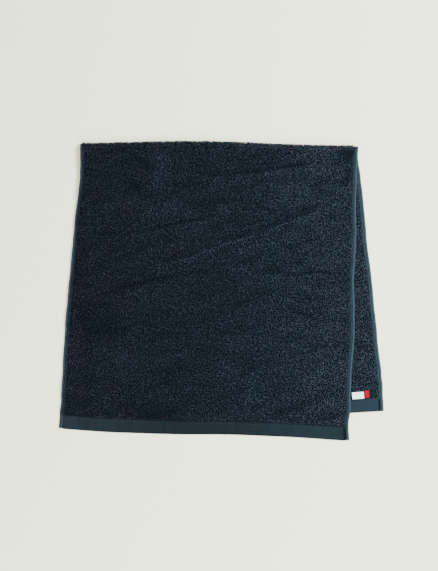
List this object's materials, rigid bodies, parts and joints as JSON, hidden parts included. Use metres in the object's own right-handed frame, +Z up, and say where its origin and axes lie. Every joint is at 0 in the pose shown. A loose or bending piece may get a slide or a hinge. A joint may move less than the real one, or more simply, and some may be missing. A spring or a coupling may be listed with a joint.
{
  "type": "bath towel",
  "caption": "Terry bath towel, folded once across its middle and laid flat with its upper layer a little askew, for drying or as bathroom dressing.",
  "frame": {"origin": "on the surface that the towel lies on, under the middle of its bounding box", "axes": "+Z up out of the surface; +X along the fold, to the right as the fold lies at the back; +Y from the two ends towards the fold"},
  "size_m": [0.674, 0.634, 0.0143],
  "materials": {
    "terry_cloth": "dark blue-grey cotton terry with uncut loops on both faces, rolled side hems and flat-woven end bands",
    "label_white": "white woven tape, blank",
    "label_red": "red woven tape, blank"
  },
  "bodies": {
    "root": {"towel": "terry_cloth", "label": "label_white", "label_tab": "label_red"}
  },
  "joints": []
}
